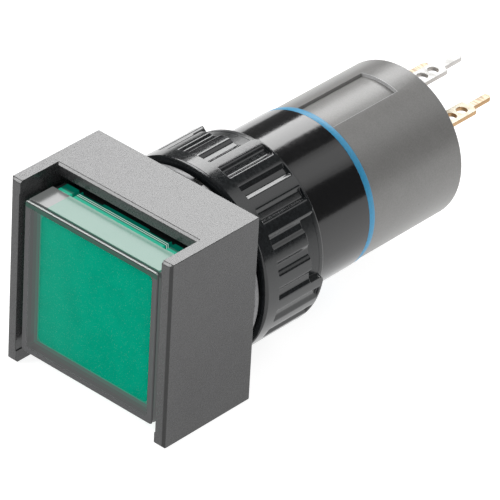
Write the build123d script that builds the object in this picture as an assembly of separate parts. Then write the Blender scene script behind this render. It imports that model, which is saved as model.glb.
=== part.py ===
from build123d import *
import os
from math import cos, radians, sin

# Illuminated push button for a 16 mm panel hole.
# Millimetres. The barrel axis is Y: the face looks to -Y, the terminals point to +Y, Z is up.
# The origin is on the barrel axis, on the rear face of the head, where the panel seats.

# Square head, open at the top and bottom of its front
head_size = 18.0
head_depth = 10.3
guard_wall = 1.12
rail_wall = 1.1
rail_setback = 4.25
back_plate = 1.3
head_chamfer = 0.22
guard_relief = 0.1
guard_land = 0.1

# Button travel and running clearances
travel = 3.0
stop_gap = 0.15
end_gap = 0.05
slide_gap = 0.1
seat_gap = 0.02
pocket_gap = 0.1

# Clear cover
cap_gap = 0.43
cap_setback = 0.13
cap_depth = 3.05
cap_face = 0.7
cap_wall = 0.82
cap_bevel = 0.08
cap_land = 0.06
cap_groove = 0.28
cap_groove_depth = 0.14
cap_corner = 0.45

# Green lens cup, with a collar behind the cover and two latch windows above and below
window_border = 1.23
window_height = 0.3
window_corner = 0.5
lens_face = 0.76
lens_wall = 0.9
skirt_length = 0.65
collar_top_inset = 0.01
collar_side_inset = 0.45
latch_start = 2.55
latch_width = 2.35
latch_depth = 0.32
collar_slit_middle = 5.2
collar_slit_width = 0.35

# Diffuser and plunger
diffuser_thickness = 0.4
light_wall = 0.8
flange_thickness = 0.85
flange_corner = 0.45
stem_wall = 1.0
stem_end = 9.1
spring_web = 0.8
spring_land = 0.3
hook_height = 0.5
hook_root = 0.5
hook_length = 1.0
hook_angle = 24.0
hook_slit_angle = 4.0
hook_side_angle = 2.0
leg_angle = 20.0
leg_inset = 0.15
leg_root = 0.5
leg_side_angle = 2.0
slit_width = 0.5
slit_length = 4.2

# Mounting nut: the barrel's radii follow from its bore
nut_start = 1.5
nut_length = 7.8
nut_radius = 9.03
nut_wall = 0.99
thread_gap = 0.04
nut_lip_step = 0.27
nut_lip = 0.25
nut_lead = 0.27
grip_count = 24
grip_angle = 8.3
grip_start = 1.55
grip_rear_wall = 0.15
grip_depth = 0.45
grip_draft = 0.2
crown_flange_step = 0.43
crown_flange = 0.75
crown_chamfer = 0.15
notch_count = 4
notch_angle = 40.0
notch_middle = 16.0
notch_length = 1.55
notch_depth = 0.58
tooth_corner = 0.7

# Barrel
sleeve_length = 8.7
sleeve_lead = 0.4
spigot_step = 1.0
barrel_step = 0.603
barrel_wall = 0.997
barrel_end = 16.09

# Rings between head and nut
gasket_thickness = 0.45
gasket_width = 0.5
ring_thickness = 0.5
ring_width = 0.65
ring_gap = 0.05
ring_notch_angle = 80.0
ring_notch_width = 1.0
ring_notch_depth = 0.35

# Blue ring and contact block
blue_length = 0.71
blue_step = 0.047
case_step = 0.125
case_length = 11.22
case_gap = 0.1
case_rear_wall = 1.22
panel_half_angle = 16.0
panel_start = 0.1
panel_length = 8.15
panel_depth = 0.27
cover_reach = 1.89
cover_rise = 1.2
lug_root = 0.5
lug_angle = 20.0
lug_side_angle = 1.0
lug_length = 1.0
lug_height = 0.55
lug_middles = (45.0, 225.0)
lug_turn = 34.0

# Lamp and its socket
lamp_reach = 0.05
bulb_step = 0.5
bulb_length = 4.2
base_length = 6.4
pin_radius = 0.25
pin_offset = 1.5
socket_wall = 1.0
socket_core_step = 0.6
socket_start = 2.75
socket_flange_gap = 0.15
socket_flange = 0.6
socket_tail = 2.4

# Blades
blade_thickness = 0.4
blade_width = 1.8
blade_length = 7.78
open_blade_length = 4.2
shoulder_reach = 5.23
shoulder_radius = 0.28
neck_radius = 0.26
tip_width = 0.7
hole_radius = 0.5
first_hole_reach = 2.78
hole_pitch = 1.4
lamp_blade_inset = 1.35
switch_blade_side_inset = 2.8
switch_blade_inset = 3.8
slot_gap = 0.05
foot_gap = 0.2
pin_seat = 0.15

# Contacts
contact_radius = 0.6
contact_height = 0.3
contact_rise = 1.05
contact_margin = 0.1
bridge_thickness = 0.25
bridge_width = 1.2
closed_foot_gap = 1.5
open_foot_gap = 1.5

# Slider and springs
leg_reach = 0.3
slider_bar_inset = 0.2
slider_bar_width = 1.8
slider_bar_length = 1.2
slider_core = 2.6
slider_end_gap = 0.2
slider_pin_radius = 0.9
slider_pin_length = 1.4
wing_width = 1.4
wing_cover = 0.2
wing_margin = 0.55
spring_room = 0.7
return_wire = 0.35
return_turns = 7
slider_wire = 0.25
slider_spring_room = 0.2
slider_turns = 4

# How far a cut runs past the face it opens
cut_over = 1.0

# Radii worked out from the nut inwards
nut_bore = nut_radius - nut_wall
nut_lip_radius = nut_radius - nut_lip_step
crown_flange_radius = nut_radius - crown_flange_step
notch_floor = nut_radius - notch_depth
sleeve_radius = nut_bore - thread_gap
spigot_radius = sleeve_radius - spigot_step
gasket_radius = sleeve_radius + gasket_width
ring_radius = sleeve_radius + ring_width
barrel_radius = sleeve_radius - barrel_step
bore_radius = barrel_radius - barrel_wall
stem_radius = bore_radius - slide_gap
stem_bore = stem_radius - stem_wall
return_mean_radius = stem_bore - spring_room
light_hole_radius = return_mean_radius - spring_land
socket_radius = return_mean_radius - spring_room
socket_flange_radius = stem_bore - socket_flange_gap
base_radius = socket_radius - socket_wall
socket_core_radius = base_radius - socket_core_step
bulb_radius = base_radius - bulb_step
blue_radius = barrel_radius - blue_step
case_radius = barrel_radius - case_step
case_bore = bore_radius - case_gap
lamp_blade_z = case_bore - lamp_blade_inset
switch_blade_x = case_bore - switch_blade_side_inset
switch_blade_z = case_bore - switch_blade_inset
contact_z = switch_blade_z + contact_rise
bridge_half_length = switch_blade_x + contact_radius + contact_margin
wing_height = contact_z + bridge_width / 2 + wing_cover
slider_bar_half = stem_radius - slider_bar_inset
slider_mean_radius = slider_pin_radius + slider_spring_room

# Widths of the square pieces
head_half = head_size / 2
guard_inside = head_half - guard_wall
rail_inside = head_half - rail_wall
cap_half = guard_inside - cap_gap
window_half = cap_half - window_border
lens_half = cap_half - cap_wall
lens_inside = lens_half - lens_wall
collar_top = cap_half - collar_top_inset
collar_side = cap_half - collar_side_inset

# Places along the axis, from the front to the back
head_front = -head_depth
rail_front = head_front + rail_setback
cap_front = head_front + cap_setback
cap_rear = cap_front + cap_depth
window_front = cap_front + cap_face
lens_front = window_front + window_height
diffuser_front = lens_front + lens_face
light_front = diffuser_front + diffuser_thickness
flange_end = -back_plate - stop_gap - travel
skirt_end = flange_end - flange_thickness
collar_end = skirt_end - skirt_length
web_end = flange_end + spring_web
lamp_front = web_end + lamp_reach
bulb_end = lamp_front + bulb_length
base_end = bulb_end + base_length
socket_front = web_end + socket_start
gasket_end = gasket_thickness
ring_end = gasket_end + ring_thickness
nut_end = nut_start + nut_length
crown_start = nut_end - crown_flange
cover_start = barrel_end - cover_reach
socket_flange_start = cover_start - socket_tail
socket_flange_end = socket_flange_start + socket_flange
foot_front = socket_flange_end + foot_gap
blue_end = barrel_end + blue_length
cover_end = blue_end + cover_rise
case_end = blue_end + case_length
case_inside = case_end - case_rear_wall
leg_end = cover_end + leg_reach
bar_end = leg_end + slider_bar_length
core_end = case_inside - travel - slider_end_gap - slider_pin_length
closed_foot_start = leg_end + closed_foot_gap
open_foot_start = case_inside - open_foot_gap
bridge_closed_front = closed_foot_start + blade_thickness + 2 * contact_height + end_gap
bridge_open_rear = open_foot_start - travel - 2 * contact_height - end_gap
bridge_open_front = bridge_open_rear - bridge_thickness
blade_end = case_end + blade_length
shoulder = case_end + shoulder_reach
first_hole = case_end + first_hole_reach


def prism(sketch, start, end):
    """Extrude an X-Z sketch along Y from start to end."""
    return extrude(Plane.XZ.offset(-end) * sketch, amount=end - start)


def block(x_range, y_range, z_range):
    """A box between two limits on each axis, given in any order."""
    ranges = [sorted(limits) for limits in (x_range, y_range, z_range)]
    middles = [(low + high) / 2 for low, high in ranges]
    return Pos(*middles) * Box(*[high - low for low, high in ranges])


def disc(radius, start, end):
    return prism(Circle(radius), start, end)


def ring(outer, inner, start, end):
    return prism(Circle(outer) - Circle(inner), start, end)


def square(half, start, end, corner=0.0):
    """A square prism on the axis, with rounded corners if asked."""
    if corner > 0:
        return prism(RectangleRounded(2 * half, 2 * half, corner), start, end)
    return prism(Rectangle(2 * half, 2 * half), start, end)


def sector(inner, outer, middle, width, start, end):
    """Part of a ring, from its middle angle and width in degrees, under 180."""
    reach = 2 * outer
    first = radians(middle - width / 2)
    last = radians(middle + width / 2)
    wedge = Polygon(
        (0, 0),
        (reach * cos(first), reach * sin(first)),
        (reach * cos(last), reach * sin(last)),
        align=None,
    )
    return prism((Circle(outer) - Circle(inner)) & wedge, start, end)


def turned(solid, angle):
    """Turn a solid about the barrel axis, from +X towards +Z."""
    return Rot(0, -angle, 0) * solid


def spring(mean_radius, wire, turns, start, end):
    """A round wire helix on the Y axis that just fits between two faces."""
    height = end - start - wire
    path = Helix(pitch=height / turns, height=height, radius=mean_radius)
    section = Plane(origin=path @ 0, z_dir=path % 0) * Circle(wire / 2)
    coil = sweep(section, path=path, is_frenet=True)
    return Pos(0, start + wire / 2, 0) * (Rot(-90, 0, 0) * coil)


def make_guard_bezel():
    """Square head: two full side guards and two short rails round the button."""
    body = square(head_half, head_front, 0)
    body = chamfer(body.edges().filter_by(Axis.Z).group_by(Axis.Y)[0], head_chamfer)
    for side in (-1, 1):
        body -= block(
            (-guard_inside, guard_inside),
            (head_front - cut_over, rail_front),
            (side * rail_inside, side * (head_half + cut_over)),
        )
    top_edges = body.edges().filter_by(Axis.X).filter_by(
        lambda edge: abs(edge.center().Z) > head_half - seat_gap
    )
    guard_edges, rail_edges = top_edges.group_by(Axis.Y)[:2]
    body = chamfer(guard_edges + rail_edges, head_chamfer)
    body -= block(
        (-guard_inside, guard_inside), (head_front, -back_plate), (-rail_inside, rail_inside)
    )
    relief_half = guard_inside + guard_relief
    land = rail_inside - guard_land
    body -= block((-relief_half, relief_half), (head_front, -back_plate), (-land, land))
    return body - disc(spigot_radius, -back_plate, 0)


def make_lens_cap():
    """Clear cover with a bevelled front, a thin groove round it and a window for the lens."""
    body = square(cap_half, cap_front, cap_rear, cap_corner)
    body = chamfer(body.faces().sort_by(Axis.Y)[0].edges(), cap_bevel)
    groove_start = cap_front + cap_bevel + cap_land
    groove_end = groove_start + cap_groove
    outside = square(cap_half + cut_over, groove_start, groove_end)
    body -= outside - square(cap_half - cap_groove_depth, groove_start, groove_end, cap_corner)
    body -= square(lens_half + seat_gap, lens_front, cap_rear)
    return body - square(window_half + seat_gap, window_front, lens_front, window_corner)


def make_colour_lens():
    """Lens cup whose collar stands out behind the cover, with slits and latch windows."""
    body = square(lens_half, lens_front, skirt_end)
    body += square(window_half, window_front, lens_front, window_corner)
    body += block((-collar_side, collar_side), (cap_rear, collar_end), (-collar_top, collar_top))
    body -= square(lens_inside, diffuser_front, skirt_end)
    half_slit = collar_slit_width / 2
    for side in (-1, 1):
        height = (side * lens_half, side * (cap_half + cut_over))
        for edge in (-1, 1):
            slit = (edge * (collar_slit_middle - half_slit), edge * (collar_slit_middle + half_slit))
            body -= block(slit, (cap_rear, collar_end), height)
            latch = (edge * latch_start, edge * (latch_start + latch_width))
            body -= block(latch, (collar_end - latch_depth, collar_end), height)
    return body


def make_diffuser_plate():
    return square(lens_inside - seat_gap, diffuser_front, light_front)


def make_plunger():
    """Square light box, round stem with two snap hooks, and two legs that press the slider."""
    head = lens_inside - seat_gap
    body = square(head, light_front, skirt_end)
    body += square(lens_half, skirt_end, flange_end, flange_corner)
    body += disc(stem_radius, flange_end, stem_end)
    body -= square(head - light_wall, light_front, skirt_end)
    body -= disc(light_hole_radius, skirt_end, web_end)
    body -= disc(stem_bore, web_end, stem_end)
    slit = block(
        (stem_bore - cut_over, stem_radius + cut_over),
        (stem_end - slit_length, stem_end),
        (-slit_width / 2, slit_width / 2),
    )
    for middle in (90, 270):
        body += sector(
            stem_radius - hook_root, stem_radius + hook_height,
            middle, hook_angle, stem_end - hook_length, stem_end,
        )
        for side in (-1, 1):
            body -= turned(slit, middle + side * (hook_angle / 2 + hook_slit_angle))
    for middle in (0, 180):
        body += sector(
            stem_bore, stem_radius - leg_inset, middle, leg_angle, stem_end - leg_root, leg_end
        )
    return body


def make_threaded_barrel():
    """Spigot, sleeve and barrel, with slots for the snap hooks and bayonet tracks for the lugs."""
    body = disc(spigot_radius, -back_plate, 0)
    body += disc(sleeve_radius, 0, sleeve_length)
    body = chamfer(body.faces().sort_by(Axis.Y)[-1].edges(), sleeve_lead)
    body += disc(barrel_radius, sleeve_length, barrel_end)
    body -= disc(bore_radius, -back_plate, barrel_end)
    hook_outer = stem_radius + hook_height + pocket_gap
    hook_front = stem_end - hook_length - end_gap
    for middle in (90, 270):
        body -= sector(
            stem_bore, hook_outer, middle, hook_angle + 2 * hook_side_angle,
            hook_front, stem_end + travel + pocket_gap,
        )
    lug_outer = case_bore + lug_height + pocket_gap
    for middle in lug_middles:
        body -= sector(
            stem_bore, lug_outer, middle + lug_turn / 2, lug_turn + lug_angle + 2 * lug_side_angle,
            cover_start, cover_start + lug_length + pocket_gap,
        )
        body -= sector(
            stem_bore, lug_outer, middle + lug_turn, lug_angle + 2 * lug_side_angle,
            cover_start, barrel_end,
        )
    return body


def make_panel_gasket():
    return ring(gasket_radius, sleeve_radius + ring_gap, 0, gasket_end)


def make_lock_ring():
    body = ring(ring_radius, sleeve_radius + ring_gap, gasket_end, ring_end)
    notch = block(
        (ring_radius - ring_notch_depth, ring_radius + cut_over),
        (gasket_end, ring_end),
        (-ring_notch_width / 2, ring_notch_width / 2),
    )
    return body - turned(notch, ring_notch_angle)


def make_tooth_corner(side):
    """What comes off a crown tooth beside a notch, so that its rear corner is round."""
    half = side * tooth_corner / 2
    corner = Pos(crown_start - tooth_corner / 2, half) * Rectangle(tooth_corner, tooth_corner)
    corner -= Pos(crown_start - tooth_corner, 2 * half) * Circle(tooth_corner)
    height = nut_radius - crown_flange_radius + cut_over
    return extrude(Plane.YZ.offset(crown_flange_radius) * corner, amount=height)


def make_grip_pocket():
    """What comes off the nut at +X for a grip pocket: a trough with drafted sides."""
    mouth = nut_radius * sin(radians(grip_angle / 2))
    floor = mouth - grip_draft
    over = mouth + grip_draft
    outline = Polygon(
        (nut_radius - grip_depth, -floor),
        (nut_radius + grip_depth, -over),
        (nut_radius + grip_depth, over),
        (nut_radius - grip_depth, floor),
        align=None,
    )
    return prism(outline, nut_start + grip_start, crown_start - grip_rear_wall)


def make_mounting_nut():
    """Ring nut: a turned profile, long grip pockets all round, and four spanner notches."""
    profile = Polyline(
        (nut_bore, nut_start),
        (nut_lip_radius, nut_start),
        (nut_lip_radius, nut_start + nut_lip),
        (nut_radius, nut_start + nut_lip + nut_lead),
        (nut_radius, crown_start),
        (crown_flange_radius, crown_start),
        (crown_flange_radius, nut_end - crown_chamfer),
        (crown_flange_radius - crown_chamfer, nut_end),
        (nut_bore, nut_end),
        close=True,
    )
    body = revolve(make_face(profile), axis=Axis.Y)
    pocket = make_grip_pocket()
    for index in range(grip_count):
        body -= turned(pocket, index * 360 / grip_count)
    for index in range(notch_count):
        middle = notch_middle + index * 360 / notch_count
        body -= sector(
            notch_floor, nut_radius + cut_over, middle, notch_angle,
            crown_start - notch_length, crown_start,
        )
        for side in (-1, 1):
            body -= turned(make_tooth_corner(side), middle + side * notch_angle / 2)
    return body


def make_block_ring():
    return ring(blue_radius, case_bore + slot_gap, barrel_end, blue_end)


def make_block_cover():
    """Front of the contact block: passages for legs and lamp blades, lugs for the barrel."""
    body = disc(case_bore - seat_gap, cover_start, cover_end)
    for middle in (0, 180):
        body -= sector(
            stem_bore - slide_gap, case_bore + cut_over, middle, leg_angle + 2 * leg_side_angle,
            cover_start, cover_end,
        )
    for side in (-1, 1):
        body -= blade_slot(0, side * lamp_blade_z, cover_start, cover_end)
    for middle in lug_middles:
        body += sector(
            case_bore - lug_root, case_bore + lug_height, middle, lug_angle,
            cover_start + end_gap, cover_start + lug_length,
        )
    return body


def blade_slot(x, z, start, end):
    half_width = blade_width / 2 + slot_gap
    half_thickness = blade_thickness / 2 + slot_gap
    return block(
        (x - half_width, x + half_width), (start, end), (z - half_thickness, z + half_thickness)
    )


def blade_places():
    """Where the six blades leave the block: lamp pair on the centre line, four switch blades."""
    places = [(0, lamp_blade_z), (0, -lamp_blade_z)]
    for z in (switch_blade_z, -switch_blade_z):
        places += [(switch_blade_x, z), (-switch_blade_x, z)]
    return places


def make_block_case():
    """Cup of the contact block, with a sunken panel on top and a slot for each blade."""
    body = disc(case_radius, blue_end, case_end)
    body -= disc(case_bore, blue_end, case_inside)
    body -= sector(
        case_radius - panel_depth, case_radius + cut_over, 90, 2 * panel_half_angle,
        blue_end + panel_start, blue_end + panel_start + panel_length,
    )
    for x, z in blade_places():
        body -= blade_slot(x, z, case_inside, case_end)
    return body


def shoulder_points(flat, half_width):
    """The pair of corners at a blade's shoulder that lie half_width from its middle."""
    return flat.vertices().filter_by(
        lambda point: abs(point.Y - shoulder) < seat_gap and abs(abs(point.X) - half_width) < seat_gap
    )


def make_short_blade(x, z, start):
    """A flat blade with one solder hole and a round end, so the open pair can be told by length."""
    end_centre = case_end + open_blade_length - blade_width / 2
    flat = Pos(0, (start + end_centre) / 2) * Rectangle(blade_width, end_centre - start)
    flat += Pos(0, end_centre) * Circle(blade_width / 2)
    flat -= Pos(0, first_hole) * Circle(hole_radius)
    return Pos(x, 0, z - blade_thickness / 2) * extrude(flat, amount=blade_thickness)


def make_blade(x, z, start):
    """A flat blade with two solder holes, round shoulders and a narrow round tip."""
    tip = tip_width / 2
    tip_centre = blade_end - tip
    flat = Pos(0, (start + shoulder) / 2) * Rectangle(blade_width, shoulder - start)
    flat += Pos(0, (shoulder + tip_centre) / 2) * Rectangle(tip_width, tip_centre - shoulder)
    flat = fillet(shoulder_points(flat, blade_width / 2), shoulder_radius)
    flat = fillet(shoulder_points(flat, tip), neck_radius)
    flat += Pos(0, tip_centre) * Circle(tip)
    for index in range(2):
        flat -= Pos(0, first_hole + index * hole_pitch) * Circle(hole_radius)
    return Pos(x, 0, z - blade_thickness / 2) * extrude(flat, amount=blade_thickness)


def make_lamp_terminal(side):
    """A lamp blade with a foot that reaches in under the lamp's pin."""
    foot = block(
        (-blade_width / 2, blade_width / 2),
        (foot_front, foot_front + blade_thickness),
        (side * (pin_offset - pin_radius - pin_seat), side * (lamp_blade_z + blade_thickness / 2)),
    )
    return make_blade(0, side * lamp_blade_z, foot_front) + foot


def make_switch_terminal(x_side, z_side, foot_start, blade=make_blade):
    """A switch blade with an upturned foot that carries the fixed contact."""
    x = x_side * switch_blade_x
    foot = block(
        (x - blade_width / 2, x + blade_width / 2),
        (foot_start, foot_start + blade_thickness),
        (z_side * (switch_blade_z - blade_thickness / 2), z_side * (contact_z + contact_radius)),
    )
    return blade(x, z_side * switch_blade_z, foot_start) + foot


def contact_buttons(z, start):
    return [
        Pos(side * switch_blade_x, 0, z) * disc(contact_radius, start, start + contact_height)
        for side in (-1, 1)
    ]


def make_fixed_contacts():
    closed = contact_buttons(contact_z, closed_foot_start + blade_thickness)
    opened = contact_buttons(-contact_z, open_foot_start - contact_height)
    return Compound(children=closed + opened)


def make_moving_contacts():
    closed = contact_buttons(contact_z, bridge_closed_front - contact_height)
    opened = contact_buttons(-contact_z, bridge_open_rear)
    return Compound(children=closed + opened)


def make_bridge(z, front, gap=0.0):
    """A contact strip across both contacts, or its slot when a gap is given."""
    half = bridge_width / 2 + gap
    return block(
        (-bridge_half_length, bridge_half_length),
        (front - gap, front + bridge_thickness + gap),
        (z - half, z + half),
    )


def make_contact_slider():
    """Cross bar under the legs, a core with a wing for each bridge, and a spring pin."""
    bar = slider_bar_width / 2
    core = slider_core / 2
    wing = wing_width / 2
    body = block((-slider_bar_half, slider_bar_half), (leg_end, bar_end), (-bar, bar))
    body += block((-core, core), (bar_end, core_end), (-core, core))
    body += disc(slider_pin_radius, core_end, core_end + slider_pin_length)
    for z_side, front in ((1, bridge_closed_front), (-1, bridge_open_front)):
        span = (front - wing_margin, front + bridge_thickness + wing_margin)
        body += block((-wing, wing), span, (0, z_side * wing_height))
        body -= make_bridge(z_side * contact_z, front, seat_gap)
    return body


def make_lamp_socket():
    """Tube that holds the lamp, with a flange for the return spring and a slot for the feet."""
    body = disc(socket_radius, socket_front, cover_start)
    body += disc(socket_flange_radius, socket_flange_start, socket_flange_end)
    body -= disc(base_radius + slot_gap, socket_front, base_end)
    body -= disc(socket_core_radius, base_end, cover_start)
    half_slot = blade_width / 2 + slot_gap
    return body - block(
        (-half_slot, half_slot), (socket_flange_end, cover_start), (-socket_radius, socket_radius)
    )


def make_led_lamp():
    """Bulb, base and two pins, one sealed unit."""
    straight = lamp_front + bulb_radius
    dome = Pos(0, straight, 0) * Sphere(bulb_radius)
    dome &= disc(bulb_radius, lamp_front, straight)
    body = dome + disc(bulb_radius, straight, bulb_end) + disc(base_radius, bulb_end, base_end)
    for side in (-1, 1):
        body += Pos(0, 0, side * pin_offset) * disc(pin_radius, base_end, foot_front)
    return body


nodes = {
    "guard_bezel": make_guard_bezel(),
    "lens_cap": make_lens_cap(),
    "colour_lens": make_colour_lens(),
    "diffuser_plate": make_diffuser_plate(),
    "plunger": make_plunger(),
    "threaded_barrel": make_threaded_barrel(),
    "panel_gasket": make_panel_gasket(),
    "lock_ring": make_lock_ring(),
    "mounting_nut": make_mounting_nut(),
    "block_ring": make_block_ring(),
    "block_cover": make_block_cover(),
    "block_case": make_block_case(),
    "terminal_lamp_top": make_lamp_terminal(1),
    "terminal_lamp_bottom": make_lamp_terminal(-1),
    "terminal_closed_right": make_switch_terminal(1, 1, closed_foot_start),
    "terminal_closed_left": make_switch_terminal(-1, 1, closed_foot_start),
    "terminal_open_right": make_switch_terminal(1, -1, open_foot_start, make_short_blade),
    "terminal_open_left": make_switch_terminal(-1, -1, open_foot_start, make_short_blade),
    "fixed_contacts": make_fixed_contacts(),
    "moving_contacts": make_moving_contacts(),
    "bridge_closed": make_bridge(contact_z, bridge_closed_front),
    "bridge_open": make_bridge(-contact_z, bridge_open_front),
    "contact_slider": make_contact_slider(),
    "lamp_socket": make_lamp_socket(),
    "led_lamp": make_led_lamp(),
    "return_spring": spring(
        return_mean_radius, return_wire, return_turns, web_end, socket_flange_start
    ),
    "slider_spring": spring(
        slider_mean_radius, slider_wire, slider_turns, core_end, case_inside
    ),
}

os.makedirs("parts", exist_ok=True)
for name, solid in nodes.items():
    export_step(solid, "parts/" + name + ".step")
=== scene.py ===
from math import cos, pi, radians, sin

import bmesh
import bpy
import numpy as np
from mathutils import Matrix, Vector


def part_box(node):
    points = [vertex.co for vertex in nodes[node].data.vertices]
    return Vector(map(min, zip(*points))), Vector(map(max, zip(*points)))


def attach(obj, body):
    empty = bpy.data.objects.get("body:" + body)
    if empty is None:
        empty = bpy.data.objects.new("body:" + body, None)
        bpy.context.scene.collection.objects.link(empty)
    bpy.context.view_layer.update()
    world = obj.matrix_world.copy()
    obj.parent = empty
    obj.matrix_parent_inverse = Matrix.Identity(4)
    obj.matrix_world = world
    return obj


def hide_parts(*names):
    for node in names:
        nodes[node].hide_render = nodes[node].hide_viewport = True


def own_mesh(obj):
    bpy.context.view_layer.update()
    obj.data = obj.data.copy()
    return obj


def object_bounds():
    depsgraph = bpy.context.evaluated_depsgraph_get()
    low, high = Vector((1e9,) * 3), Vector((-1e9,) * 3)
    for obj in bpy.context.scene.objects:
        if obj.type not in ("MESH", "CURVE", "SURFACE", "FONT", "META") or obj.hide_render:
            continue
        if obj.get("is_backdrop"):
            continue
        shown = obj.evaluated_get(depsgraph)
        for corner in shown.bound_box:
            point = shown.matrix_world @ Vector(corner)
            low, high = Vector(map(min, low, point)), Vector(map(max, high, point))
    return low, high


# Illuminated push button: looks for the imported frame. Metres; the values below are in millimetres.

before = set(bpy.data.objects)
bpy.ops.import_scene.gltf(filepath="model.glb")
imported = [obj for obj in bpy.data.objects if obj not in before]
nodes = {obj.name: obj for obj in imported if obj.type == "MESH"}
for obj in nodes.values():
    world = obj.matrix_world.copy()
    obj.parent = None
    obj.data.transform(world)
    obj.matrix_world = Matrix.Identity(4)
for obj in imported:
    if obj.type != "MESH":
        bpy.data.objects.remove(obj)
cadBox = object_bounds()
scene = bpy.context.scene
mm = 0.001


# Camera, light and floor

viewSet = {
    "azimuth": 40.765,  # degrees from the face towards +X
    "elevation": 33.881,
    "roll": 3.249,
    "distance": 429.0,
    "target": (1.3, 8.0, -1.652),
    "focalLength": 369.6,
    "filmWidth": 36.0,
    "nearest": 10.0,
    "farthest": 20000.0,
}

floorSet = {
    "height": -9.06,
    "size": 6000.0,
    "tone": 0.4,
    "toneChange": 0.01,
    "speckSize": 40.0,
    "roughness": 0.9,
    "glow": 0.86,
    "airTone": (1.0, 1.0, 1.0),
    "airGlow": 0.13,
}

# Each lamp's direction from the object, the way its width runs, its distance, size and radiance
lampSet = {
    "backSoftbox": {"towards": (-0.49, 0.63, 0.60), "across": (0.78, 0.0, 0.63),
                    "distance": 700.0, "size": (285.0, 620.0), "power": 6.2},
    "keySoftbox": {"towards": (-0.542, -0.557, 0.629), "across": (0.7, -0.7, 0.0),
                   "distance": 700.0, "size": (330.0, 330.0), "power": 9.0},
    "roofGlow": {"towards": (0.33, 0.63, 0.70), "across": (0.78, 0.0, -0.37),
                 "distance": 800.0, "size": (200.0, 560.0), "power": 1.3},
    "roofHaze": {"towards": (0.33, 0.63, 0.70), "across": (0.78, 0.0, -0.37),
                 "distance": 800.0, "size": (320.0, 680.0), "power": 1.1},
    "roofEdge": {"towards": (0.33, 0.63, 0.70), "across": (0.78, 0.0, -0.37),
                 "distance": 800.0, "size": (440.0, 800.0), "power": 0.8},
    "sideFill": {"towards": (1.0, -0.75, 0.5), "across": (0.6, 0.8, 0.0),
                 "distance": 900.0, "size": (600.0, 600.0), "power": 2.1},
}


def directionAxes(azimuth, elevation, roll):
    turn, lift, lean = radians(azimuth), radians(elevation), radians(roll)
    back = Vector((sin(turn) * cos(lift), -cos(turn) * cos(lift), sin(lift)))
    right = Vector((cos(turn), sin(turn), 0.0))
    up = back.cross(right)
    return right * cos(lean) + up * sin(lean), up * cos(lean) - right * sin(lean), back


def placeCamera(values):
    right, up, back = directionAxes(values["azimuth"], values["elevation"], values["roll"])
    camera = bpy.data.objects.new("camera", bpy.data.cameras.new("camera"))
    camera.data.lens = values["focalLength"]
    camera.data.sensor_width = values["filmWidth"]
    camera.data.clip_start = values["nearest"] * mm
    camera.data.clip_end = values["farthest"] * mm
    turn = Matrix((right, up, back)).transposed().to_4x4()
    place = (Vector(values["target"]) + back * values["distance"]) * mm
    camera.matrix_world = Matrix.Translation(place) @ turn
    scene.collection.objects.link(camera)
    scene.camera = camera


def placeLamp(name, values):
    towards = Vector(values["towards"]).normalized()
    up = towards.cross(Vector(values["across"])).normalized()
    width, height = (side * mm for side in values["size"])
    lamp = bpy.data.lights.new(name, "AREA")
    lamp.shape = "RECTANGLE"
    lamp.size = width
    lamp.size_y = height
    lamp.energy = values["power"] * width * height * pi  # power holds the radiance
    holder = bpy.data.objects.new(name, lamp)
    turn = Matrix((up.cross(towards), up, towards)).transposed().to_4x4()
    holder.matrix_world = Matrix.Translation(towards * values["distance"] * mm) @ turn
    holder.visible_camera = False
    scene.collection.objects.link(holder)


placeCamera(viewSet)
for lampName, lampValues in lampSet.items():
    placeLamp(lampName, lampValues)
scene.view_settings.view_transform = "Standard"
print("camera and lamps placed")


# Shader sheets: one method makes every node, and links take part in sums

class Link:
    def __init__(self, sheet, socket):
        self.sheet = sheet
        self.socket = socket

    def math(self, operation, first, second=None):
        values = {0: first} if second is None else {0: first, 1: second}
        return self.sheet.add("ShaderNodeMath", {"operation": operation}, values)

    def __add__(self, other):
        return self.math("ADD", self, other)

    def __radd__(self, other):
        return self.math("ADD", other, self)

    def __sub__(self, other):
        return self.math("SUBTRACT", self, other)

    def __rsub__(self, other):
        return self.math("SUBTRACT", other, self)

    def __mul__(self, other):
        return self.math("MULTIPLY", self, other)

    def __rmul__(self, other):
        return self.math("MULTIPLY", other, self)

    def __abs__(self):
        return self.math("ABSOLUTE", self)

    def root(self):
        return self.math("SQRT", self)

    def larger(self, other):
        return self.math("MAXIMUM", self, other)

    def smaller(self, other):
        return self.math("MINIMUM", self, other)

    def rise(self, low, high):  # 0 below low, 1 above high, smooth between
        inputs = {"Value": self, "From Min": low, "From Max": high, "To Min": 0.0, "To Max": 1.0}
        return self.sheet.add("ShaderNodeMapRange", {"interpolation_type": "SMOOTHSTEP"}, inputs)


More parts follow.
